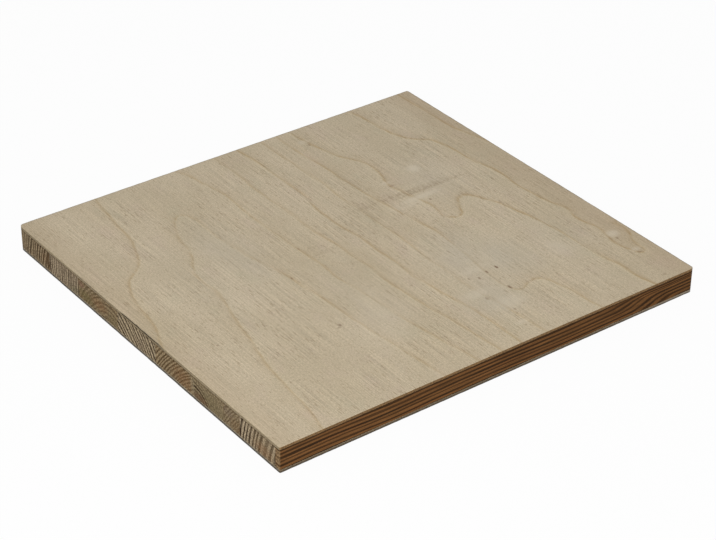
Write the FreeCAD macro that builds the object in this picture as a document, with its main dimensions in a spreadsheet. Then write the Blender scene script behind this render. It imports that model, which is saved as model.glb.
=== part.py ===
"""Three-ply blockboard, sawn to a small panel: two face veneers on a core of softwood strips.

Frame: the origin is at the middle of the underside. +X runs along the core strips, +Y runs across
them, from the front edge to the back one, and +Z points up. The panel lies flat. All sizes are in
millimetres.
"""

import FreeCAD
import Part
import os

OUT = "parts"

# Driving sizes that are not strip widths: alias, value, meaning.
PANEL_SIZES = [
    ("panel_length", 320, "along the core strips"),
    ("core_thickness", 14, "planed thickness of the core strips"),
    ("face_thickness", 2, "upper face veneer"),
    ("back_thickness", 2, "lower face veneer"),
    ("open_joint", 0.5, "gap where two strips were laid without closing up"),
]

# Strip widths in order from the front edge to the back one. The two outer strips were ripped when the
# panel was sawn to size: the front one is only the edge of a strip, and the back one lost little.
STRIP_WIDTHS = [4.5, 36, 16.5, 33, 41, 44, 47, 37, 37.5]

# The strip, counted from the front edge, that has the open joint in front of it.
STRIP_AFTER_GAP = 9


def width_alias(number):
    """Name of the cell that holds the width of a strip."""
    return f"strip_{number}_width"


def make_sheet(doc):
    """Spreadsheet with one named cell for each driving size."""
    sheet = doc.addObject("Spreadsheet::Sheet", "sizes")
    rows = list(PANEL_SIZES)
    for number, width in enumerate(STRIP_WIDTHS, start=1):
        rows.append((width_alias(number), width, f"core strip {number}, front to back"))
    for line, (alias, value, meaning) in enumerate(rows, start=1):
        sheet.set(f"A{line}", alias)
        sheet.set(f"B{line}", str(value))
        sheet.set(f"C{line}", meaning)
        sheet.setAlias(f"B{line}", alias)
    doc.recompute()
    return sheet


def core_run(strips):
    """Expression for the width that this many strips take up, counted from the front edge."""
    terms = [f"sizes.{width_alias(number)}" for number in range(1, strips + 1)]
    if strips >= STRIP_AFTER_GAP - 1:
        terms.append("sizes.open_joint")
    return " + ".join(terms) or "0"


def panel_width():
    """Expression for the panel's size across the strips."""
    return core_run(len(STRIP_WIDTHS))


def make_block(doc, label, sizes, corner):
    """A rectangular piece. sizes and corner are expressions for its size and its lowest corner."""
    block = doc.addObject("Part::Box", label)
    block.Label = label
    for name, expression in zip(("Length", "Width", "Height"), sizes):
        block.setExpression(name, expression)
    for axis, expression in zip("xyz", corner):
        block.setExpression(f"Placement.Base.{axis}", expression)
    return block


def make_veneer(doc, label, thickness, level):
    """A face veneer: one sheet over the whole panel, with its underside at the given level."""
    sizes = ("sizes.panel_length", panel_width(), thickness)
    corner = ("-sizes.panel_length / 2", f"-({panel_width()}) / 2", level)
    return make_block(doc, label, sizes, corner)


def make_core_strip(doc, number):
    """A core strip: it lies against the strips on either side, between the two veneers."""
    sizes = ("sizes.panel_length", f"sizes.{width_alias(number)}", "sizes.core_thickness")
    front = f"{core_run(number - 1)} - ({panel_width()}) / 2"
    corner = ("-sizes.panel_length / 2", front, "sizes.back_thickness")
    return make_block(doc, f"core_strip_{number}", sizes, corner)


def make_panel(doc):
    """All pieces of the panel."""
    pieces = [make_core_strip(doc, number) for number in range(1, len(STRIP_WIDTHS) + 1)]
    pieces.append(make_veneer(doc, "veneer_bottom", "sizes.back_thickness", "0"))
    core_top = "sizes.back_thickness + sizes.core_thickness"
    pieces.append(make_veneer(doc, "veneer_top", "sizes.face_thickness", core_top))
    return pieces


def check(doc, pieces):
    """Stops if an object failed to compute or a piece has no valid solid."""
    failed = [o.Label for o in doc.Objects if "Invalid" in o.State or "Error" in o.State]
    if failed:
        raise RuntimeError(f"objects that did not compute: {failed}")
    for piece in pieces:
        shape = piece.Shape
        if shape.isNull() or not shape.isValid() or shape.Volume <= 0:
            raise RuntimeError(f"{piece.Label} has no valid solid")


def write_steps(pieces):
    """One STEP file for each piece, named after it."""
    os.makedirs(OUT, exist_ok=True)
    for piece in pieces:
        piece.Shape.exportStep(os.path.join(OUT, f"{piece.Label}.step"))
        box = piece.Shape.BoundBox
        print(f"{piece.Label}: {box.XLength:.2f} x {box.YLength:.2f} x {box.ZLength:.2f}, "
              f"y from {box.YMin:.2f} to {box.YMax:.2f}, z from {box.ZMin:.2f} to {box.ZMax:.2f}")


def main():
    doc = FreeCAD.newDocument("blockboard")
    make_sheet(doc)
    pieces = make_panel(doc)
    doc.recompute()
    check(doc, pieces)
    write_steps(pieces)


main()
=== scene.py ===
import math

import bpy
import numpy as np
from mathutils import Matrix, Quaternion, Vector


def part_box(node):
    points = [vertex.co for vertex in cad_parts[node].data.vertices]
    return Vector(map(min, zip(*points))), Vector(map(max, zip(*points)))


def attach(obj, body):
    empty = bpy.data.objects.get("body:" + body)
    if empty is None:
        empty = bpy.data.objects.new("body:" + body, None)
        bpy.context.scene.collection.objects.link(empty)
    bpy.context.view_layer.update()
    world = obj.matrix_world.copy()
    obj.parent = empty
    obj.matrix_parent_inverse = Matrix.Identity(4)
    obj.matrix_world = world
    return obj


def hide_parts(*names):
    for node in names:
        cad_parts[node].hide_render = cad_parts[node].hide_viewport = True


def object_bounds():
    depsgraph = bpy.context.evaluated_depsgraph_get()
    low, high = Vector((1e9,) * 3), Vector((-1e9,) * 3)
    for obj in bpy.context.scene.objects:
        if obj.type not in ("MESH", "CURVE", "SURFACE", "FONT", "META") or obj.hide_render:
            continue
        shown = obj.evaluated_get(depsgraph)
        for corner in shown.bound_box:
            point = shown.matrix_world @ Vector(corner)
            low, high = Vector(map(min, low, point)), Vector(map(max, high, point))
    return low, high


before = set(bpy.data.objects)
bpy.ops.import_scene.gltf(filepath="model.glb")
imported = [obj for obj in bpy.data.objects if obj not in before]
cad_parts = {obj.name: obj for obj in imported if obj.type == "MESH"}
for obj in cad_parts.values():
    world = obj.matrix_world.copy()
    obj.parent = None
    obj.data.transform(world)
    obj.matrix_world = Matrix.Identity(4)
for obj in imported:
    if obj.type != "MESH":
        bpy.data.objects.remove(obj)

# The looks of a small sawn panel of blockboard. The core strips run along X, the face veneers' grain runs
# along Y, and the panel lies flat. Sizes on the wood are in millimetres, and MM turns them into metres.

CAD_LOW, CAD_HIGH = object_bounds()

MM = 0.001
STRIP_COUNT = sum(name.startswith("core_strip_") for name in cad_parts)
UPPER_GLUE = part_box("veneer_top")[0].z / MM
PANEL_TOP = CAD_HIGH.z / MM
FRONT_EDGE, BACK_EDGE = CAD_LOW.y / MM, CAD_HIGH.y / MM
RIGHT_END = CAD_HIGH.x / MM


# ---------------------------------------------------------------- node trees

class Tree:
    """Adds nodes to a tree. An input given as a socket is linked, and any other value is set."""

    def __init__(self, tree):
        self.tree = tree

    def add(self, kind, inputs=None, out=0, **settings):
        """A node with its settings and inputs; gives the output socket named by out."""
        made = self.tree.nodes.new(kind)
        for name, value in settings.items():
            setattr(made, name, value)
        for name, value in (inputs or {}).items():
            self.plug(made.inputs[name], value)
        return made.outputs[out]

    def plug(self, socket, value):
        if isinstance(value, bpy.types.NodeSocket):
            self.tree.links.new(value, socket)
        else:
            socket.default_value = value

    def math(self, operation, a, b=0.0, c=0.0, clamp=False):
        inputs = {0: a, 1: b, 2: c}
        return self.add("ShaderNodeMath", inputs, operation=operation, use_clamp=clamp)

    def vector(self, operation, a, b=None, scale=None):
        inputs = {0: a}
        if b is not None:
            inputs[1] = b
        if scale is not None:
            inputs["Scale"] = scale
        out = "Value" if operation in ("LENGTH", "DISTANCE", "DOT_PRODUCT") else "Vector"
        return self.add("ShaderNodeVectorMath", inputs, out=out, operation=operation)

    def parts(self, vector):
        """The X, Y and Z of a vector."""
        made = self.add("ShaderNodeSeparateXYZ", {0: vector}).node
        return tuple(made.outputs)

    def whole(self, x, y, z):
        return self.add("ShaderNodeCombineXYZ", {0: x, 1: y, 2: z})

    def span(self, value, low, high, start=0.0, end=1.0, curve="SMOOTHSTEP"):
        """Value carried from low..high to start..end, with soft ends and no overshoot."""
        inputs = {"Value": value, "From Min": low, "From Max": high, "To Min": start, "To Max": end}
        return self.add("ShaderNodeMapRange", inputs, interpolation_type=curve)

    def noise(self, place, stretch, detail=2.0, roughness=0.55, w=None):
        """Noise from 0 to 1 whose bumps have about the given size along X, Y and Z."""
        scaled = self.vector("DIVIDE", place, tuple(stretch))
        inputs = {"Vector": scaled, "Scale": 1.0, "Detail": detail, "Roughness": roughness}
        settings = {}
        if w is not None:
            inputs["W"] = w
            settings["noise_dimensions"] = "4D"
        return self.add("ShaderNodeTexNoise", inputs, **settings)

    def mix(self, share, a, b, blend="MIX"):
        """Colours a and b mixed."""
        inputs = {0: share, 6: a, 7: b}
        return self.add("ShaderNodeMix", inputs, out=2, data_type="RGBA", blend_type=blend)


def paint(red, green, blue):
    """A colour given as it looks on a screen, from 0 to 255, as the shader's linear colour."""
    shares = [c / 255 for c in (red, green, blue)]
    linear = [s / 12.92 if s <= 0.04045 else ((s + 0.055) / 1.055) ** 2.4 for s in shares]
    return (*linear, 1.0)


# ---------------------------------------------------------------- sawn blanks

BLANK_INPUTS = (
    ("Low corner", "NodeSocketVector"),
    ("High corner", "NodeSocketVector"),
    ("Rows X", "NodeSocketInt"),
    ("Rows Y", "NodeSocketInt"),
    ("Rows Z", "NodeSocketInt"),
    ("Crowding", "NodeSocketVector"),
    ("Arris radius", "NodeSocketFloat"),
    ("Arris wear", "NodeSocketFloat"),
    ("Saw depth", "NodeSocketVector"),
    ("Saw pitch", "NodeSocketFloat"),
    ("Seed", "NodeSocketFloat"),
    ("Finish", "NodeSocketMaterial"),
)


def new_geometry_tree(name, inputs):
    """An empty Geometry Nodes tree with the given named inputs and one geometry output."""
    tree = bpy.data.node_groups.new(name, "GeometryNodeTree")
    tree.interface.new_socket("Geometry", in_out="OUTPUT", socket_type="NodeSocketGeometry")
    for label, kind in inputs:
        tree.interface.new_socket(label, in_out="INPUT", socket_type=kind)
    return tree


def sawn_blank_tree():
    """A sawn piece of wood: a closed block whose rows crowd towards its arrises. The arrises are worn
    round, and the faces carry the marks of the saw, always inwards from the block's own planes."""
    tree = new_geometry_tree("sawn_blank", BLANK_INPUTS)
    g = Tree(tree)
    given = g.add("NodeGroupInput").node.outputs
    rows = {f"Vertices {axis}": given[f"Rows {axis}"] for axis in "XYZ"}
    block = g.add("GeometryNodeMeshCube", {"Size": (1.0, 1.0, 1.0), **rows})

    low, high = given["Low corner"], given["High corner"]
    centre = g.vector("SCALE", g.vector("ADD", low, high), scale=0.5)
    half = g.vector("SCALE", g.vector("SUBTRACT", high, low), scale=0.5)
    even = g.parts(g.add("GeometryNodeInputPosition"))
    crowding = g.parts(given["Crowding"])
    crowded = []
    for share, power in zip(even, crowding):
        side = g.math("SIGN", share)
        inward = g.math("SUBTRACT", 1.0, g.math("MULTIPLY", g.math("ABSOLUTE", share), 2.0), clamp=True)
        spread = g.math("SUBTRACT", 1.0, g.math("POWER", inward, power))
        crowded.append(g.math("MULTIPLY", side, spread))
    side = g.whole(*crowded)
    place = g.vector("ADD", centre, g.vector("MULTIPLY", side, half))

    wear = g.noise(place, (0.006, 0.006, 0.003), detail=3.0, w=given["Seed"])
    nicks = g.span(wear, 0.42, 0.78)
    growing = g.math("MULTIPLY_ADD", nicks, given["Arris wear"], 1.0)
    radius = g.math("MULTIPLY", given["Arris radius"], growing)
    inset = g.whole(radius, radius, radius)
    inner_low = g.vector("ADD", low, inset)
    inner_high = g.vector("SUBTRACT", high, inset)
    inner = g.vector("MINIMUM", g.vector("MAXIMUM", place, inner_low), inner_high)
    outward = g.vector("NORMALIZE", g.vector("SUBTRACT", place, inner))
    rounded = g.vector("ADD", inner, g.vector("SCALE", outward, scale=radius))

    x, y, z = g.parts(place)
    slant = g.math("MULTIPLY_ADD", z, 0.35, g.math("ADD", x, y))
    stroke = g.math("SINE", g.math("DIVIDE", g.math("MULTIPLY", slant, math.tau), given["Saw pitch"]))
    grit = g.noise(place, (0.0018, 0.0018, 0.0012), detail=4.0, roughness=0.7, w=given["Seed"])
    marks = g.math("MULTIPLY_ADD", stroke, 0.22, g.span(grit, 0.25, 0.75, 0.0, 0.75), clamp=True)
    reach = g.vector("SUBTRACT", half, g.vector("ABSOLUTE", g.vector("SUBTRACT", place, centre)))
    near = g.vector("SUBTRACT", (1.0, 1.0, 1.0), g.vector("DIVIDE", reach, (MM, MM, MM)))
    near = g.vector("MAXIMUM", near, (0.0, 0.0, 0.0))
    bite = g.vector("MULTIPLY", g.vector("SIGN", side), g.vector("MULTIPLY", near, given["Saw depth"]))
    sawn = g.vector("SUBTRACT", rounded, g.vector("SCALE", bite, scale=marks))

    shaped = g.add("GeometryNodeSetPosition", {"Geometry": block, "Position": sawn})
    out_x, out_y, out_z = g.parts(g.vector("ABSOLUTE", outward))
    arris = g.math("SUBTRACT", 1.0, g.math("MAXIMUM", out_x, g.math("MAXIMUM", out_y, out_z)))
    named = {"Geometry": shaped, "Name": "arris", "Value": arris}
    stored = g.add("GeometryNodeStoreNamedAttribute", named)
    smooth = g.add("GeometryNodeSetShadeSmooth", {"Geometry": stored})
    finished = g.add("GeometryNodeSetMaterial", {"Geometry": smooth, "Material": given["Finish"]})
    done = g.add("GeometryNodeRealizeInstances", {"Geometry": finished})
    result = tree.nodes.new("NodeGroupOutput")
    g.plug(result.inputs["Geometry"], done)
    return tree


def grow(name, tree, values):
    """Runs a Geometry Nodes tree with the named values and keeps its result as a plain mesh object."""
    piece = bpy.data.objects.new(name, bpy.data.meshes.new(name))
    bpy.context.scene.collection.objects.link(piece)
    modifier = piece.modifiers.new(tree.name, "NODES")
    modifier.node_group = tree
    sockets = {s.name: s.identifier for s in tree.interface.items_tree if s.in_out == "INPUT"}
    for label, value in values.items():
        modifier[sockets[label]] = value
    graph = bpy.context.evaluated_depsgraph_get()
    made = bpy.data.meshes.new_from_object(piece.evaluated_get(graph), depsgraph=graph)
    piece.modifiers.clear()
    piece.data = made
    made.name = name
    return piece


# ---------------------------------------------------------------- mesh values

def corners(mesh):
    """The mesh's points, in millimetres, one row each."""
    flat = np.empty(len(mesh.vertices) * 3, np.float32)
    mesh.vertices.foreach_get("co", flat)
    return flat.reshape(-1, 3).astype(float) / MM


def put_corners(mesh, points):
    """Moves the mesh's points, with the panel's worn corners taken off."""
    worn = wear_corners(points)
    mesh.vertices.foreach_set("co", (worn * MM).astype(np.float32).ravel())
    mesh.update()


# The panel's upright corners: (end, edge, radius of the wear). The far left one has been knocked round.
WORN_CORNERS = ((-1, 1, 3.4), (-1, -1, 1.0), (1, -1, 2.2), (1, 1, 1.4))


def wear_corners(points):
    """Rounds the panel's upright corners, always inwards."""
    result = points.copy()
    for end, edge, radius in WORN_CORNERS:
        from_end = radius - (RIGHT_END - end * result[:, 0])
        from_edge = radius - (BACK_EDGE - edge * result[:, 1])
        reach = np.hypot(from_end, from_edge)
        near = (from_end > 0) & (from_edge > 0) & (reach > radius)
        inward = np.where(near, radius / np.maximum(reach, 1e-6), 1.0)
        result[near, 0] = end * (RIGHT_END - radius + (from_end * inward)[near])
        result[near, 1] = edge * (BACK_EDGE - radius + (from_edge * inward)[near])
    return result


def facing(mesh):
    """How each point of the mesh faces, one row each."""
    flat = np.empty(len(mesh.vertices) * 3, np.float32)
    mesh.vertices.foreach_get("normal", flat)
    return flat.reshape(-1, 3).astype(float)


def store(mesh, name, values):
    """Keeps one number for each point, for the finish to read."""
    layer = mesh.attributes.get(name) or mesh.attributes.new(name, "FLOAT", "POINT")
    layer.data.foreach_set("value", np.asarray(values, np.float32))


def soft_step(value, low, high):
    """Share that rises smoothly from 0 at low to 1 at high; low may be the higher of the two."""
    share = np.clip((value - low) / (high - low), 0, 1)
    return share * share * (3 - 2 * share)


def drift(points, size, seed, waves=9):
    """An uneven field from about -1 to 1 whose swells are about `size` long along X, Y and Z."""
    chance = np.random.default_rng(seed)
    turns = chance.normal(size=(waves, 3)) * 3.0 / np.broadcast_to(size, 3)
    starts = chance.uniform(0, math.tau, waves)
    return np.sin(points @ turns.T + starts).sum(1) / math.sqrt(waves)


def late_wood(growth):
    """Share of dark late wood at a growth number: it rises through the year and ends with the ring."""
    year = growth - np.floor(growth)
    return soft_step(year, 0.35, 0.9) * (1 - soft_step(year, 0.95, 1.0))


# ---------------------------------------------------------------- growth of the wood

# Growth-ring lines on the upper face: ring number, strength, and points (x, y) along the line. Ring
# numbers rise outwards from the flat-cut flame left of the middle.
FACE_LINES = (
    (1, 0.72, ((-130, -148), (-124, -114), (-119, -76), (-112, -49), (-106, -22), (-99, 8), (-90, 48),
               (-85, 71), (-78, 88), (-69, 97), (-64, 88), (-64, 66), (-62, 31), (-54, -8), (-51, -42),
               (-49, -76), (-46, -104), (-42, -148))),
    (2, 0.78, ((-103, 145), (-106, 124), (-110, 91), (-122, 61), (-137, 48), (-144, 34), (-148, 16),
               (-151, -4), (-159, -24))),
    (2, 0.7, ((-39, 145), (-34, 124), (-30, 98), (-32, 74), (-31, 36), (-30, 8), (-30, -26), (-26, -64),
              (-24, -92), (-20, -122), (-16, -148))),
    (3, 0.65, ((-9, 145), (-10, 98), (-9, 48), (-7, 8), (-6, -26), (-6, -64), (-2, -102), (0, -126),
               (2, -148))),
    (4, 0.9, ((10, 145), (12, 111), (12, 84), (8, 48), (8, 24), (10, -14), (10, -52), (12, -76),
              (16, -102), (17, -148))),
    (5, 0.5, ((30, 145), (31, 111), (32, 74), (31, 36), (31, 8), (30, -39), (31, -64), (33, -102),
              (37, -148))),
    (6, 0.85, ((43, 145), (44, 111), (45, 74), (48, 36), (52, 8), (55, -14), (53, -44), (50, -69),
               (49, -92), (52, -102), (61, -101), (70, -99), (76, -106), (80, -124), (82, -148))),
    (7, 1.1, ((54, 145), (56, 124), (61, 101), (69, 87), (72, 74), (70, 61), (66, 48), (70, 24),
              (71, -6), (79, -12), (86, -5), (92, 5), (98, 8), (105, 0), (112, -16), (117, -39),
              (120, -64), (121, -89), (124, -116), (127, -148))),
    (8, 1.15, ((106, 145), (109, 118), (113, 98), (120, 87), (128, 80), (132, 61), (134, 36), (136, -2),
               (139, -32), (143, -46), (142, -69), (141, -89), (141, -106), (146, -116), (151, -112),
               (154, -96), (157, -78))),
    (9, 1.0, ((150, 145), (151, 111), (152, 84), (157, 64), (160, 51))),
)
# Places between the lines that hold the figure's slope where lines are far apart.
FACE_BETWEEN = (
    (0.55, ((-80, -26), (-75, -120), (-72, 30))),
    (1.6, ((-145, -90), (-145, -140), (-75, 130))),
    (2.6, ((-150, 120), (-155, 60))),
    (7.4, ((92, 60), (90, 120), (122, 30))),
    (6.5, ((95, -60), (100, -120))),
    (7.6, ((150, -140), (158, -105), (155, -128))),
    (8.4, ((149, -60), (148, -92), (151, 0))),
)


def plate(known, values, places):
    """A thin bent plate through the known places and values, read at other places."""
    def pull(a, b):
        gap = ((a[:, None, :] - b[None, :, :]) ** 2).sum(2)
        return gap * np.log(gap + 1e-9)

    count = len(known)
    flat = np.hstack([np.ones((count, 1)), known])
    system = np.block([[pull(known, known) + 20.0 * np.eye(count), flat], [flat.T, np.zeros((3, 3))]])
    weights = np.linalg.solve(system, np.concatenate([values, np.zeros(3)]))
    result = np.empty(len(places))
    for start in range(0, len(places), 8000):
        part = places[start:start + 8000]
        result[start:start + 8000] = pull(part, known) @ weights[:count]
        result[start:start + 8000] += weights[count] + part @ weights[count + 1:]
    return result


def face_figure(places):
    """Growth number and line strength over the upper face."""
    rings = [(x, y, ring) for ring, _, line in FACE_LINES for x, y in line]
    rings += [(x, y, ring) for ring, spots in FACE_BETWEEN for x, y in spots]
    strengths = np.array([(x, y, bold) for _, bold, line in FACE_LINES for x, y in line], float)
    rings = np.array(rings, float)
    growth = plate(rings[:, :2], rings[:, 2], places)
    near = ((places[:, None, :] - strengths[None, :, :2]) ** 2).sum(2)
    weight = 1.0 / (near + 25.0) ** 1.5
    return growth, (weight @ strengths[:, 2]) / weight.sum(1)


def back_figure(places):
    """Growth number and line strength over the underside: one long flame, off the middle."""
    across = (places[:, 0] - 28) / 30
    along = (places[:, 1] + 210) / 150
    bend = drift(np.column_stack([places, np.zeros(len(places))]), (90, 220, 1), 5)
    growth = np.sqrt(across ** 2 + 0.12 * along ** 4 + 0.2) + 0.35 * bend + 0.5
    return growth, np.full(len(places), 0.8)


def steepness(figure, places):
    """Rings for each millimetre, worked out by stepping a little way."""
    step = 1.5
    here = figure(places)[0]
    along_x = figure(places + (step, 0))[0] - here
    along_y = figure(places + (0, step))[0] - here
    return np.clip(np.hypot(along_x, along_y) / step, 0.012, 0.25)


# How each core strip was cut from its tree. pith: the heart's place from the strip's centre, across and up.
# ring: width of a year at the heart. narrowing: how much faster the years follow each other far from it.
# phase: where the count starts. early, late: the end grain's colours. bold: (distance from the heart,
# width, share elsewhere) of the strongest rings. even: years of one width. tints: (across from the
# strip's centre, up, half-width, half-height, colour, share).
STRIP_CUTS = {
    2: dict(pith=(-60, -16), ring=100, narrowing=0.215, phase=0.1,
            early=(208, 188, 156), late=(22, 14, 7), bold=(76, 17, 0.78),
            tints=((-7, 0, 13, 9, (150, 128, 92), 0.3),
                   (-6, -3, 8, 4, (150, 98, 54), 0.35))),
    3: dict(pith=(-40, -35), ring=2.3, narrowing=0, phase=0,
            early=(170, 152, 120), late=(104, 86, 62), bold=(0, 1, 0.75),
            tints=((-5, -2, 6, 4, (142, 110, 74), 0.35),
                   (4, 3, 5, 3, (140, 122, 112), 0.25))),
    4: dict(pith=(15, -16), ring=3.4, narrowing=0.006, phase=0.07, even=True,
            early=(166, 149, 116), late=(28, 11, 3), bold=(17.6, 3.0, 0.28),
            tints=((-4, -3, 10, 6, (134, 124, 90), 0.4),
                   (9, -5.5, 8, 3.4, (108, 72, 52), 0.55),
                   (16, 0, 1.2, 9, (190, 176, 144), 0.45))),
    5: dict(pith=(-45, -45), ring=2.2, narrowing=0, phase=0.5,
            early=(182, 160, 124), late=(80, 60, 34), bold=(0, 1, 0.85),
            tints=((-10, -1, 11, 6, (150, 108, 70), 0.5),
                   (-19.8, 0, 1.4, 9, (190, 176, 144), 0.45))),
    6: dict(pith=(75, -62), ring=3.2, narrowing=0, phase=0.2,
            early=(210, 190, 156), late=(34, 26, 15), bold=(84, 30, 0.9),
            tints=((-4, -3, 6, 4, (150, 132, 112), 0.35),)),
    7: dict(pith=(-13, -24), ring=2.8, narrowing=0, phase=0.6,
            early=(170, 150, 116), late=(76, 58, 34), bold=(0, 1, 0.6),
            tints=((14, -3, 8, 4, (128, 118, 72), 0.5),
                   (-2, 0, 9, 4, (162, 118, 78), 0.4),
                   (20, 4, 4, 2, (160, 120, 104), 0.5),
                   (-18, -4, 6, 4, (132, 120, 84), 0.4))),
    8: dict(pith=(60, 12), ring=2.2, narrowing=0, phase=0.4,
            early=(204, 184, 154), late=(30, 22, 13), bold=(68, 14, 0.75),
            tints=((-14, -6, 6, 4, (120, 122, 92), 0.35),
                   (17.6, 0, 1.6, 9, (60, 44, 28), 0.55))),
    9: dict(pith=(-70, -20), ring=2.9, narrowing=0, phase=0.0,
            early=(190, 168, 134), late=(48, 35, 20), bold=(66, 18, 0.8),
            tints=((-15, 0, 5, 4, (120, 80, 46), 0.3),
                   (10, 4, 8, 5, (150, 138, 110), 0.3),
                   (-17.9, 0, 1.7, 9, (60, 44, 28), 0.55),
                   (18.6, 0, 1.3, 9, (66, 52, 34), 0.6))),
}
# The front strip's layers where they lie level: (depth below the panel's face, year, strength of the
# year's dark line).
OUTER_YEARS = (
    (-8, 16.5, 0.8), (3.2, 20, 1.0), (6.2, 21, 0.45), (9.0, 22, 0.8), (11.0, 23, 0.5), (14.0, 24, 1.0),
    (16.6, 25, 0.55), (19.5, 26, 0.8), (25, 28, 0.8),
)
OUTER_STRIP = dict(early=(172, 142, 104), late=(70, 44, 20), tints=())
# How far the width of a strip's years varies.
UNEVEN_YEARS = 0.11


def strip_growth(number, points):
    """Growth number and ring strength inside a core strip, from its tree's heart."""
    low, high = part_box(f"core_strip_{number}")
    centre_y, centre_z = (low.y + high.y) / 2 / MM, (low.z + high.z) / 2 / MM
    cut = STRIP_CUTS[number]
    across = points[:, 1] - centre_y - cut["pith"][0]
    up = points[:, 2] - centre_z - cut["pith"][1]
    sway = drift(points, (260, 60, 60), 10 + number) + drift(points, (90, 14, 14), 40 + number) * 0.2
    reach = np.hypot(across, up) + sway
    boldest, width, elsewhere = cut["bold"]
    bold = elsewhere + (1 - elsewhere) * np.exp(-((reach - boldest) / width) ** 2)
    years = reach * (1 + cut["narrowing"] * reach) / cut["ring"] + cut["phase"]
    uneven = 0.0 if cut.get("even") else UNEVEN_YEARS
    quick_swing = uneven * np.sin(years * 1.9 + number)
    slow_swing = 1.5 * uneven * np.sin(years * 0.83 + 2 * number)
    return years + quick_swing + slow_swing, bold


def outer_strip_growth(points):
    """Growth number in the front strip: level layers that fold up into a long hump near the right end."""
    x, y, z = points.T
    depth = PANEL_TOP - z
    rise = soft_step(x - 2.4 * (depth - 8), 91, 134)
    lift = 6.4 * rise * (1 - np.exp(-np.clip(depth - 1.5, 0, None) / 2.5))
    sway = drift(points, (110, 40, 30), 3) * 0.45 + drift(points, (45, 9, 5), 4) * 0.16
    level = depth + lift + sway + 0.05 * (y - FRONT_EDGE)
    depths, years, strengths = zip(*OUTER_YEARS)
    growth = np.interp(level, depths, years)
    blotchy = 0.95 + 0.25 * drift(points, (60, 9, 5), 8)
    return growth, np.interp(growth + 0.3, years, strengths) * blotchy


def end_relief(points, growth, ends_at, depth):
    """Sinks the soft early wood a little below the late wood on the end-grain faces."""
    result = points.copy()
    for sign in (-1, 1):
        near = np.clip(1 - (ends_at - sign * points[:, 0]), 0, 1)
        result[:, 0] -= sign * near * depth * (1 - late_wood(growth))
    return result


# ---------------------------------------------------------------- finishes

def new_finish(name, roughness):
    """A material with a plain wood surface; gives it, its tree helper and its shader node."""
    finish = bpy.data.materials.new(name)
    finish.use_nodes = True
    g = Tree(finish.node_tree)
    shader = finish.node_tree.nodes["Principled BSDF"]
    shader.inputs["Roughness"].default_value = roughness
    shader.inputs["Specular IOR Level"].default_value = 0.25
    return finish, g, shader


def read(g, name):
    return g.add("ShaderNodeAttribute", out="Fac", attribute_name=name)


def object_place(g):
    """The place on the object in millimetres."""
    return g.vector("SCALE", g.add("ShaderNodeTexCoord", out="Object"), scale=1 / MM)


def spot(g, place, centre, size, soft=0.5):
    """Share from 0 to 1 inside an oval spot; size is its half-width along X, Y and Z."""
    away = g.vector("DIVIDE", g.vector("SUBTRACT", place, tuple(centre)), tuple(size))
    return g.span(g.vector("LENGTH", away), 1.0 - soft, 1.0 + soft, 1.0, 0.0)


def bump(g, shader, height, distance):
    """Fine relief; distance is in metres."""
    inputs = {"Height": height, "Distance": distance, "Strength": 1.0}
    made = g.add("ShaderNodeBump", inputs, out="Normal")
    g.plug(shader.inputs["Normal"], made)


GLUE_DARK = paint(60, 36, 14)
# The pale and dark layers on the strips' long sides. The front strip is a darker, redder wood.
FRONT_SIDE = (paint(145, 98, 55), paint(34, 17, 6))
OTHER_SIDE = (paint(164, 130, 86), paint(88, 58, 30))

# Pin knots on the upper face: (x, y, half-width, half-length, darkness).
PIN_MARKS = (
    (55, 124.5, 0.8, 1.5, 0.35), (36, -75, 0.5, 1.3, 0.5), (42, -78, 0.7, 1.5, 0.55),
    (50.5, -75, 0.6, 1.4, 0.65), (59, -74, 0.8, 1.7, 0.85), (51, -97, 0.8, 2.0, 0.7),
    (31, -99, 0.9, 1.6, 0.35), (-60, -69, 1.0, 1.4, 0.5), (-62, -71, 1.6, 0.7, 0.25),
    (-53.5, -9, 0.7, 1.3, 0.45), (77.5, 17, 0.8, 1.2, 0.5), (145, -93, 0.9, 1.2, 0.4),
    (145, -114, 1.4, 0.9, 0.35), (67.5, 46, 2.2, 1.2, 0.25), (37.5, -118, 0.8, 1.1, 0.3),
    (46, -116, 0.7, 0.9, 0.2), (67, 17, 0.7, 1.0, 0.25), (-30, 17, 0.6, 1.4, 0.3),
    (131, -91.5, 0.6, 0.9, 0.3), (-132, -43.5, 0.9, 0.8, 0.3), (32, -135, 0.6, 1.0, 0.25),
    (2.5, -59.5, 0.9, 0.9, 0.3), (98, -27.5, 0.6, 1.6, 0.25), (140, -143, 1.1, 1.0, 0.3),
)
# Pale patches: (x, y, half-width, half-length, share).
PALE_PATCHES = (
    (93.5, 56, 4.2, 4.6, 0.55), (75, 23.5, 13, 2.4, 0.5), (54, 130, 4, 2.5, 0.35), (66, 51, 3.5, 2, 0.35),
    (28, -91, 8, 4, 0.35), (42, -110, 9, 6, 0.35), (44, -68, 9, 4, 0.3), (146, -87, 4.5, 3.5, 0.55),
    (106, -80, 6, 8, 0.25), (145, -110, 3, 2, 0.4), (32, -131, 4, 2, 0.3), (-40, -82, 20, 16, 0.14),
    (62, 20, 14, 4, 0.25),
)
# Greyish clouds: (x, y, half-width, half-length, share).
GREY_CLOUDS = (
    (52, -52, 20, 26, 0.38), (34, -100, 16, 16, 0.42), (76, -70, 14, 18, 0.28), (-68, 40, 14, 40, 0.28),
    (96, 40, 16, 30, 0.18), (-30, -60, 16, 34, 0.15), (-104, 20, 12, 44, 0.15), (116, -70, 14, 24, 0.18),
)
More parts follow.
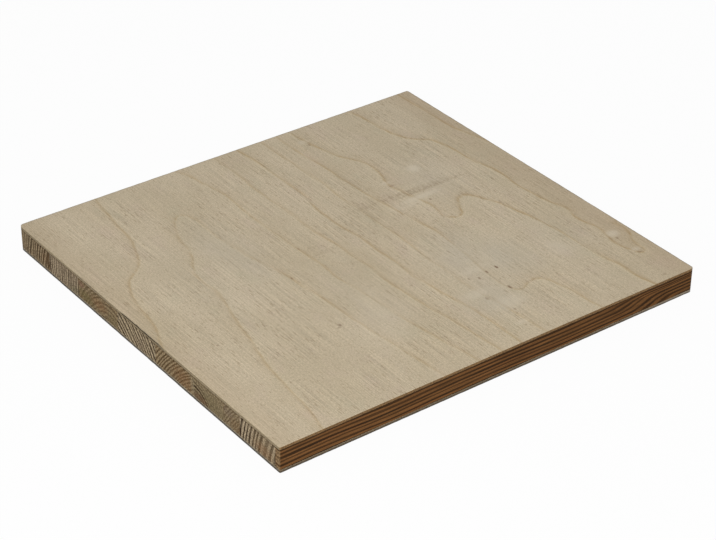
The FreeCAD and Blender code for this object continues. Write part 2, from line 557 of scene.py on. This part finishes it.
# Marks across the grain, where the veneer was bruised: (x, y, half-width, half-length, darkness).
CROSS_MARKS = (
    (76, 32, 32, 3.4, 0.28), (88, 30, 26, 1.6, 0.2), (58, 34, 20, 1.6, 0.2), (30, 33.5, 24, 2.2, 0.15),
    (48, 38, 14, 2.0, 0.14), (-17, 5, 9, 2.2, 0.14), (-22, 12, 5, 3, 0.1),
)
# Dark and light tones of the veneers' sawn edges: along the grain, and where the saw cut across it.
UPPER_EDGES = {
    "long": (paint(118, 103, 77), paint(154, 138, 107)),
    "cut": (paint(96, 68, 36), paint(144, 112, 72)),
}
LOWER_EDGES = {
    "long": (paint(82, 75, 62), paint(112, 103, 87)),
    "cut": (paint(84, 70, 50), paint(124, 108, 86)),
}
FACE_LIGHT = paint(192, 177, 151)
FACE_MAIN = paint(184, 169, 142)
FACE_LINE = paint(158, 130, 84)
FACE_PIN = paint(98, 64, 36)
PORE_BROWN = paint(122, 98, 70)
HAIR_BROWN = paint(128, 106, 76)
# Painted shade inside the split under the upper arris.
SPLIT_SHADE = paint(24, 17, 10)
# A growth line on the face: its width past the ring's end and before it, and how far it fades away.
LINE_PAST, LINE_BEFORE, LINE_TRAIL = 1.5, 0.7, 7.0
# Room for one pore and for one hair-fine pore, along X, Y and Z.
PORE_ROOM = (1.25, 5.2, 2.0)
HAIR_ROOM = (0.8, 7.5, 2.0)
# The far arrises are rubbed dark: how far from an arris that begins, and how near it is full.
RUBBED_FROM, RUBBED_FULL = 1.1, 0.3


def bell(g, away, width):
    """1 at no distance, falling off softly over the width."""
    squared = g.math("POWER", g.math("DIVIDE", away, width), 2.0)
    return g.math("EXPONENT", g.math("MULTIPLY", squared, -1.0))


def pores(g, place, room, size, chosen):
    """Short marks, one in each room. size: where a mark's edge fades. chosen: the chances that fill it."""
    inputs = {"Vector": g.vector("DIVIDE", place, room), "Scale": 1.0, "Randomness": 1.0}
    cells = g.add("ShaderNodeTexVoronoi", inputs, feature="F1").node
    share = g.span(g.parts(cells.outputs["Color"])[0], *chosen)
    return g.math("MULTIPLY", g.span(cells.outputs["Distance"], *size, 1.0, 0.0), share)


def shaded(g, colour, shade):
    """The colour made darker or lighter by a number around 1."""
    return g.mix(1.0, colour, g.whole(shade, shade, shade), blend="MULTIPLY")


def veneer_finish(name, marked):
    """Sanded rotary-cut veneer: thin growth lines, short pores along Y, cloudy colour. Its sawn edges
    are rougher, and browner where they cut across the grain. marked: with the upper face's marks."""
    finish, g, shader = new_finish(name, 0.62)
    place = object_place(g)
    x, y, z = g.parts(place)
    edge, cross = read(g, "edge"), read(g, "end_grain")

    jitter = g.noise(place, (1.3, 9.0, 3.0), detail=3.0, roughness=0.6)
    steep = read(g, "steep")
    shift = g.math("MULTIPLY", g.math("MULTIPLY", g.math("SUBTRACT", jitter, 0.5), 2.4), steep)
    year = g.math("FRACT", g.math("ADD", read(g, "growth"), shift))
    past = g.math("DIVIDE", year, steep)
    before = g.math("DIVIDE", g.math("SUBTRACT", 1.0, year), steep)
    sharp = g.math("MAXIMUM", bell(g, past, LINE_PAST), bell(g, before, LINE_BEFORE))
    trail = g.math("EXPONENT", g.math("DIVIDE", past, -LINE_TRAIL))
    line = g.math("ADD", g.math("MULTIPLY", sharp, 0.36), g.math("MULTIPLY", trail, 0.18))
    broken = g.span(g.noise(place, (2.5, 30, 5), detail=2.0), 0.3, 0.62, 0.35, 1.15)
    bold = read(g, "bold")
    line = g.math("MULTIPLY", line, g.math("MULTIPLY", bold, broken), clamp=True)
    rim = g.math("MULTIPLY", g.math("EXPONENT", g.math("DIVIDE", before, -2.2)), bold)

    clouds = g.noise(place, (34, 60, 30), detail=3.0)
    colour = g.mix(g.span(clouds, 0.3, 0.7), FACE_MAIN, FACE_LIGHT)
    tone = g.noise(place, (16, 30, 20), detail=2.0, w=4.0)
    colour = g.mix(g.span(tone, 0.52, 0.75, 0.0, 0.3), colour, paint(188, 168, 150))
    colour = g.mix(g.span(tone, 0.46, 0.25, 0.0, 0.28), colour, paint(176, 168, 142))
    colour = g.mix(g.math("MULTIPLY", rim, 0.38), colour, paint(200, 186, 154))
    colour = g.mix(line, colour, FACE_LINE)

    streaks = g.noise(place, (0.7, 48, 2), detail=2.0, roughness=0.6)
    fleck = g.noise(place, (0.6, 1.6, 0.6), detail=3.0, roughness=0.8)
    combed = g.span(g.noise(place, (30, 45, 30), detail=1.0, w=2.0), 0.35, 0.62, 0.42, 1.0)
    combed_streaks = g.math("MULTIPLY", g.math("SUBTRACT", streaks, 0.5), combed)
    streak_shade = g.span(combed_streaks, -0.16, 0.16, 0.87, 1.10)
    colour = shaded(g, colour, g.math("MULTIPLY", streak_shade, g.span(fleck, 0.3, 0.7, 0.8, 1.22)))

    pore = pores(g, place, PORE_ROOM, (0.1, 0.24), (0.45, 1.0))
    colour = g.mix(g.math("MULTIPLY", pore, 0.6), colour, PORE_BROWN)
    hair = pores(g, place, HAIR_ROOM, (0.2, 0.42), (0.45, 0.9))
    colour = g.mix(g.math("MULTIPLY", g.math("MULTIPLY", hair, combed), 0.6), colour, HAIR_BROWN)

    if marked:
        level = PANEL_TOP
        aged = g.math("MAXIMUM", g.span(x, 130, 152, 0.0, 0.32), g.span(x, -135, -158, 0.0, 0.22))
        aged = g.math("MULTIPLY", aged, g.span(clouds, 0.3, 0.6, 0.6, 1.0))
        colour = g.mix(aged, colour, paint(158, 134, 102))
        rubbed_end = g.span(x, RIGHT_END - RUBBED_FROM, RIGHT_END - RUBBED_FULL)
        rubbed_back = g.span(y, BACK_EDGE - RUBBED_FROM, BACK_EDGE - RUBBED_FULL)
        rubbed = g.math("MAXIMUM", rubbed_end, rubbed_back)
        colour = g.mix(g.math("MULTIPLY", rubbed, 0.5), colour, paint(112, 94, 66))
        for mx, my, wide, long, share in GREY_CLOUDS:
            patch = g.math("MULTIPLY", spot(g, place, (mx, my, level), (wide, long, 1), soft=0.9), share)
            cloudy = g.math("MULTIPLY", patch, g.span(tone, 0.3, 0.6, 0.5, 1.0))
            colour = g.mix(cloudy, colour, paint(179, 172, 156))
        for mx, my, wide, long, share in PALE_PATCHES:
            patch = spot(g, place, (mx, my, level), (wide, long, 1), soft=0.7)
            colour = g.mix(g.math("MULTIPLY", patch, share), colour, paint(206, 194, 172))
        ribs = g.span(g.noise(place, (1.1, 5, 2), detail=2.0), 0.38, 0.58, 0.15, 1.0)
        for mx, my, wide, long, share in CROSS_MARKS:
            mark = g.math("MULTIPLY", spot(g, place, (mx, my, level), (wide, long, 1), soft=0.45), ribs)
            colour = g.mix(g.math("MULTIPLY", mark, share), colour, paint(124, 102, 72))
        ragged = {"Vector": g.vector("DIVIDE", place, (1.0, 1.6, 1.0)), "Scale": 1.0, "Detail": 2.0}
        rough_place = g.vector("ADD", place, g.add("ShaderNodeTexNoise", ragged, out="Color"))
        rough_place = g.vector("SUBTRACT", rough_place, (0.5, 0.5, 0.5))
        for mx, my, wide, long, share in PIN_MARKS:
            mark = spot(g, rough_place, (mx, my, level), (wide, long, 1.5), soft=0.55)
            colour = g.mix(g.math("MULTIPLY", mark, share), colour, FACE_PIN)

    layers = g.noise(place, (40, 40, 0.35), detail=3.0, roughness=0.6)
    dots = g.noise(place, (0.45, 3, 0.3), detail=3.0, roughness=0.7)
    tones = UPPER_EDGES if marked else LOWER_EDGES
    long_edge = g.mix(g.span(layers, 0.35, 0.65), *tones["long"])
    cut_edge = g.mix(g.span(dots, 0.35, 0.65), *tones["cut"])
    sawn = g.mix(cross, long_edge, cut_edge)
    speck = g.span(g.noise(place, (1.3, 1.3, 0.8), detail=3.0, roughness=0.75), 0.36, 0.64, 0.72, 1.28)
    colour = g.mix(edge, colour, shaded(g, sawn, speck))
    if not marked:
        pale_end = g.math("MULTIPLY", g.math("MULTIPLY", edge, cross), g.span(x, 80, 150, 0.0, 0.5))
        colour = g.mix(pale_end, colour, paint(172, 160, 142))
        # Painted contact shadow: the lowest millimetre of the lower veneer's sawn edges is darkened where
        # the panel sits on the floor.
        floor_shade = g.math("MULTIPLY", g.span(z, 0.75, 1.25, 0.85, 0.0), edge)
        colour = g.mix(floor_shade, colour, paint(64, 54, 42))
    else:
        # Painted shade: the split's gap is darkened nearly to black.
        colour = g.mix(g.math("MULTIPLY", read(g, "split_shade"), 0.97), colour, SPLIT_SHADE)
    g.plug(shader.inputs["Base Color"], colour)

    relief = g.math("SUBTRACT", g.math("MULTIPLY", streaks, 0.35), g.math("MULTIPLY", pore, 0.5))
    relief = g.math("SUBTRACT", relief, g.math("MULTIPLY", hair, 0.4))
    relief = g.math("ADD", relief, g.math("MULTIPLY", g.math("MULTIPLY", dots, edge), 1.4))
    bump(g, shader, relief, 0.00006)
    g.plug(shader.inputs["Roughness"], g.span(fleck, 0.2, 0.8, 0.56, 0.7))
    return finish


def core_finish(number, cut):
    """Sawn softwood of one core strip: year rings on its ends, long streaks on its sides."""
    finish, g, shader = new_finish(f"core_strip_{number}_softwood", 0.88)
    shader.inputs["Specular IOR Level"].default_value = 0.08
    place = object_place(g)
    x, y, z = g.parts(place)
    end = read(g, "end_grain")

    jitter = g.noise(place, (70, 2.2, 2.2), detail=3.0, roughness=0.6)
    growth = g.math("ADD", read(g, "growth"), g.math("MULTIPLY", g.math("SUBTRACT", jitter, 0.5), 0.3))
    year = g.math("FRACT", growth)
    this_year = g.math("ADD", g.math("FLOOR", growth), number * 31.0)
    summer = g.add("ShaderNodeTexWhiteNoise", {"W": this_year}, noise_dimensions="1D")
    begins = g.span(summer, 0.0, 1.0, 0.36, 0.48, curve="LINEAR")
    rise = g.span(g.math("SUBTRACT", year, begins), 0.0, 0.16)
    band = g.math("MULTIPLY", rise, g.span(year, 0.95, 1.0, 1.0, 0.0))
    dry = g.math("FRACT", g.math("MULTIPLY", summer, 7.3))
    band = g.math("MULTIPLY", band, g.span(dry, 0.0, 0.6, 0.8, 1.0))

    patchy = g.span(g.noise(place, (40, 8, 5), detail=2.0, w=float(number)), 0.25, 0.6, 0.65, 1.0)
    share = g.math("MULTIPLY", band, g.math("MULTIPLY", patchy, read(g, "bold")))
    ends = g.mix(share, paint(*cut["early"]), paint(*cut["late"]))
    low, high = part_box(f"core_strip_{number}")
    middle = (low + high) / 2 / MM
    for across, up, wide, tall, tint, amount in cut["tints"]:
        for end_x in (-RIGHT_END, RIGHT_END):
            patch = spot(g, place, (end_x, middle.y + across, middle.z + up), (60, wide, tall), soft=0.6)
            ends = g.mix(g.math("MULTIPLY", patch, amount), ends, paint(*tint))
    speck = g.noise(place, (2.0, 1.1, 1.1), detail=3.0, roughness=0.75)
    dust = g.span(speck, 0.36, 0.64, 0.45, 1.55)
    ends = shaded(g, ends, dust)

    fibre = g.noise(place, (26, 0.5, 0.42), detail=4.0, roughness=0.65)
    wide_tone = g.noise(place, (70, 6, 3.2), detail=2.0, w=7.0)
    layered = g.math("MULTIPLY", band, g.span(wide_tone, 0.25, 0.65, 0.75, 1.0))
    sides = g.mix(layered, *FRONT_SIDE if number == 1 else OTHER_SIDE)
    sides = g.mix(g.span(wide_tone, 0.55, 0.8, 0.0, 0.3), sides, paint(130, 72, 38))
    streak = g.math("MULTIPLY", g.span(fibre, 0.3, 0.7, 0.42, 1.6), g.span(x, -160, 160, 1.0, 0.9))
    sides = shaded(g, sides, streak)

    colour = g.mix(end, sides, ends)
    glue = g.span(g.math("ABSOLUTE", g.math("SUBTRACT", z, UPPER_GLUE - 0.35)), 0.3, 0.6, 0.85, 0.0)
    glue = g.math("MULTIPLY", glue, g.math("SUBTRACT", 1.0, g.math("MULTIPLY", end, 0.6)))
    colour = g.mix(glue, colour, GLUE_DARK)
    colour = g.mix(g.span(read(g, "arris"), 0.05, 0.3, 0.0, 0.45), colour, paint(70, 52, 32))
    g.plug(shader.inputs["Base Color"], colour)

    end_grit = g.math("MULTIPLY", g.math("MULTIPLY", speck, end), 1.6)
    side_fibre = g.math("MULTIPLY", fibre, g.math("SUBTRACT", 1.0, end))
    relief = g.math("ADD", end_grit, g.math("MULTIPLY", band, 0.5))
    relief = g.math("ADD", relief, g.math("MULTIPLY", side_fibre, 1.4))
    bump(g, shader, relief, 0.00010)
    return finish


# ---------------------------------------------------------------- pieces

# Rows of points along a veneer's length, width and thickness, and how they crowd towards its arrises.
VENEER_ROWS, VENEER_CROWDING = (199, 185, 11), (1.12, 1.12, 1.4)
SAW_PITCH = 2.3


def blank(tree, node, finish, rows, crowding, saw, seed, arris=0.22, wear=1.0):
    """A sawn blank the size of a CAD node, as a plain mesh that stands for it."""
    low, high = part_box(node)
    values = {
        "Low corner": low, "High corner": high, "Rows X": rows[0], "Rows Y": rows[1], "Rows Z": rows[2],
        "Crowding": crowding, "Arris radius": arris * MM, "Arris wear": wear,
        "Saw depth": Vector(saw) * MM, "Saw pitch": SAW_PITCH * MM, "Seed": seed, "Finish": finish,
    }
    return grow(node + "_wood", tree, values)


def settle(piece, node):
    """Attaches a finished piece to the root body in place of its CAD node, which it hides."""
    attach(piece, "root")
    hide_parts(node)


def make_veneer(tree, node, figure, marked, seed):
    """A face veneer with its growth figure. marked: the upper one, with its knots, patches and split."""
    finish = veneer_finish(node + "_birch", marked)
    saw = (0.05, 0.05, 0.0)
    piece = blank(tree, node, finish, VENEER_ROWS, VENEER_CROWDING, saw, seed, arris=0.2, wear=1.6)
    mesh = piece.data
    points, normals = corners(mesh), facing(mesh)
    if marked:
        points = open_split(mesh, points)
    put_corners(mesh, points)
    growth, bold = figure(points[:, :2])
    store(mesh, "growth", growth)
    store(mesh, "bold", bold)
    store(mesh, "steep", steepness(figure, points[:, :2]))
    store(mesh, "end_grain", soft_step(np.abs(normals[:, 1]), 0.5, 0.8))
    store(mesh, "edge", soft_step(np.abs(normals[:, 2]), 0.8, 0.5))
    settle(piece, node)


def open_split(mesh, points):
    """The split along the left edge, just under the upper arris: a shallow gap that tapers out, with a mask
    for the shade painted into it.
    """
    x, y, z = points.T
    along = soft_step(y, -30, -12) * soft_step(-y, -23, -19)
    below_arris, half_height, depth, reach = 0.55, 0.42, 1.0, 1.2
    height = PANEL_TOP - below_arris + 0.08 * np.sin(y / 5)
    open_here = along * np.exp(-((z - height) / half_height) ** 2)
    at_end = np.clip(1 - (RIGHT_END + x) / reach, 0, 1)
    gap = open_here * at_end * soft_step(PANEL_TOP - z, 0.03, 0.22)
    store(mesh, "split_shade", np.clip(gap * 2.2, 0, 1))
    result = points.copy()
    result[:, 0] += depth * gap
    return result


def make_core_strip(tree, number):
    """A core strip: rings on its sawn ends, and on its long side if that side shows."""
    node = f"core_strip_{number}"
    low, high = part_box(node)
    width = (high.y - low.y) / MM
    outer = number in (1, STRIP_COUNT)
    cut = OUTER_STRIP if number == 1 else STRIP_CUTS[number]
    across = max(9, round(width / (0.7 if outer else 0.42)))
    rows = (321 if outer else 25, across, 35)
    crowding = (1.1 if outer else 3.0, 1.25, 1.25)
    piece = blank(tree, node, core_finish(number, cut), rows, crowding, (0.10, 0.08, 0.0), float(number))
    mesh = piece.data
    points, normals = corners(mesh), facing(mesh)
    growth, bold = outer_strip_growth(points) if number == 1 else strip_growth(number, points)
    store(mesh, "growth", growth)
    store(mesh, "bold", np.clip(bold, 0, 1))
    store(mesh, "end_grain", soft_step(np.abs(normals[:, 0]), 0.4, 0.8))
    put_corners(mesh, end_relief(points, growth, RIGHT_END, 0.1))
    settle(piece, node)


# ---------------------------------------------------------------- stage, light and camera

def make_floor():
    """A pale level floor. It looks white from the camera and in gloss, and keeps the panel's shadow."""
    size = 6.0
    drop = 0.0002
    bpy.ops.mesh.primitive_plane_add(size=size, location=(0, 0, -drop))
    floor = bpy.context.object
    floor.name = "studio_floor"
    finish, g, shader = new_finish("floor_white", 0.9)
    shader.inputs["Base Color"].default_value = (0.8, 0.8, 0.8, 1.0)
    shader.inputs["Specular IOR Level"].default_value = 0.0
    glow = g.add("ShaderNodeEmission", {"Color": (1.0, 1.0, 1.0, 1.0), "Strength": 1.0}, out="Emission")
    path = g.add("ShaderNodeLightPath").node
    seen = g.math("MAXIMUM", path.outputs["Is Camera Ray"], path.outputs["Is Glossy Ray"])
    seen = g.math("MAXIMUM", seen, path.outputs["Is Transmission Ray"])
    share = g.math("MULTIPLY", seen, 0.95)
    blend = g.add("ShaderNodeMixShader", {0: share, 1: shader.outputs["BSDF"], 2: glow}, out="Shader")
    g.plug(finish.node_tree.nodes["Material Output"].inputs["Surface"], blend)
    floor.data.materials.append(finish)


def make_lamp(name, place, size, power):
    """A square lamp that shines at the panel."""
    lamp = bpy.data.lights.new(name, "AREA")
    lamp.shape = "SQUARE"
    lamp.size = size
    lamp.energy = power
    holder = bpy.data.objects.new(name, lamp)
    holder.location = place
    holder.rotation_mode = "QUATERNION"
    holder.rotation_quaternion = (-Vector(place)).to_track_quat("-Z", "Y")
    bpy.context.scene.collection.objects.link(holder)


def make_light():
    """Soft studio light: a bright even room, a large lamp on the left, and a faint one low behind."""
    world = bpy.data.worlds.new("studio")
    world.use_nodes = True
    g = Tree(world.node_tree)
    back = world.node_tree.nodes["Background"]
    path = g.add("ShaderNodeLightPath").node
    seen = g.math("MAXIMUM", path.outputs["Is Camera Ray"], path.outputs["Is Glossy Ray"])
    room = 0.5
    g.plug(back.inputs["Strength"], g.math("MULTIPLY_ADD", seen, 1.0 - room, room))
    back.inputs["Color"].default_value = (1.0, 1.0, 1.0, 1.0)
    bpy.context.scene.world = world
    make_lamp("key_lamp", (-0.65, -0.65, 0.85), size=0.8, power=8.8)
    make_lamp("fill_lamp", (1.2, 1.3, 0.55), size=1.0, power=3.2)


def make_camera():
    """Looks down on the panel's nearest corner from in front and to the left."""
    place = (-0.7062, -0.9498, 0.7523)
    heading, down, roll = math.radians(53.17), math.radians(32.45), math.radians(0.43)
    lens = bpy.data.cameras.new("camera")
    lens.sensor_width = 36.0
    lens.lens = 108.96
    camera = bpy.data.objects.new("camera", lens)
    camera.location = place
    flat = math.cos(down)
    ahead = Vector((math.cos(heading) * flat, math.sin(heading) * flat, -math.sin(down)))
    camera.rotation_mode = "QUATERNION"
    level = ahead.to_track_quat("-Z", "Y")
    camera.rotation_quaternion = level @ Quaternion((0, 0, 1), roll)
    bpy.context.scene.collection.objects.link(camera)
    bpy.context.scene.camera = camera
    bpy.context.scene.view_settings.view_transform = "Standard"


def main():
    tree = sawn_blank_tree()
    for number in range(1, STRIP_COUNT + 1):
        make_core_strip(tree, number)
    make_veneer(tree, "veneer_bottom", back_figure, False, 31.0)
    make_veneer(tree, "veneer_top", face_figure, True, 32.0)
    make_floor()
    make_light()
    make_camera()


main()
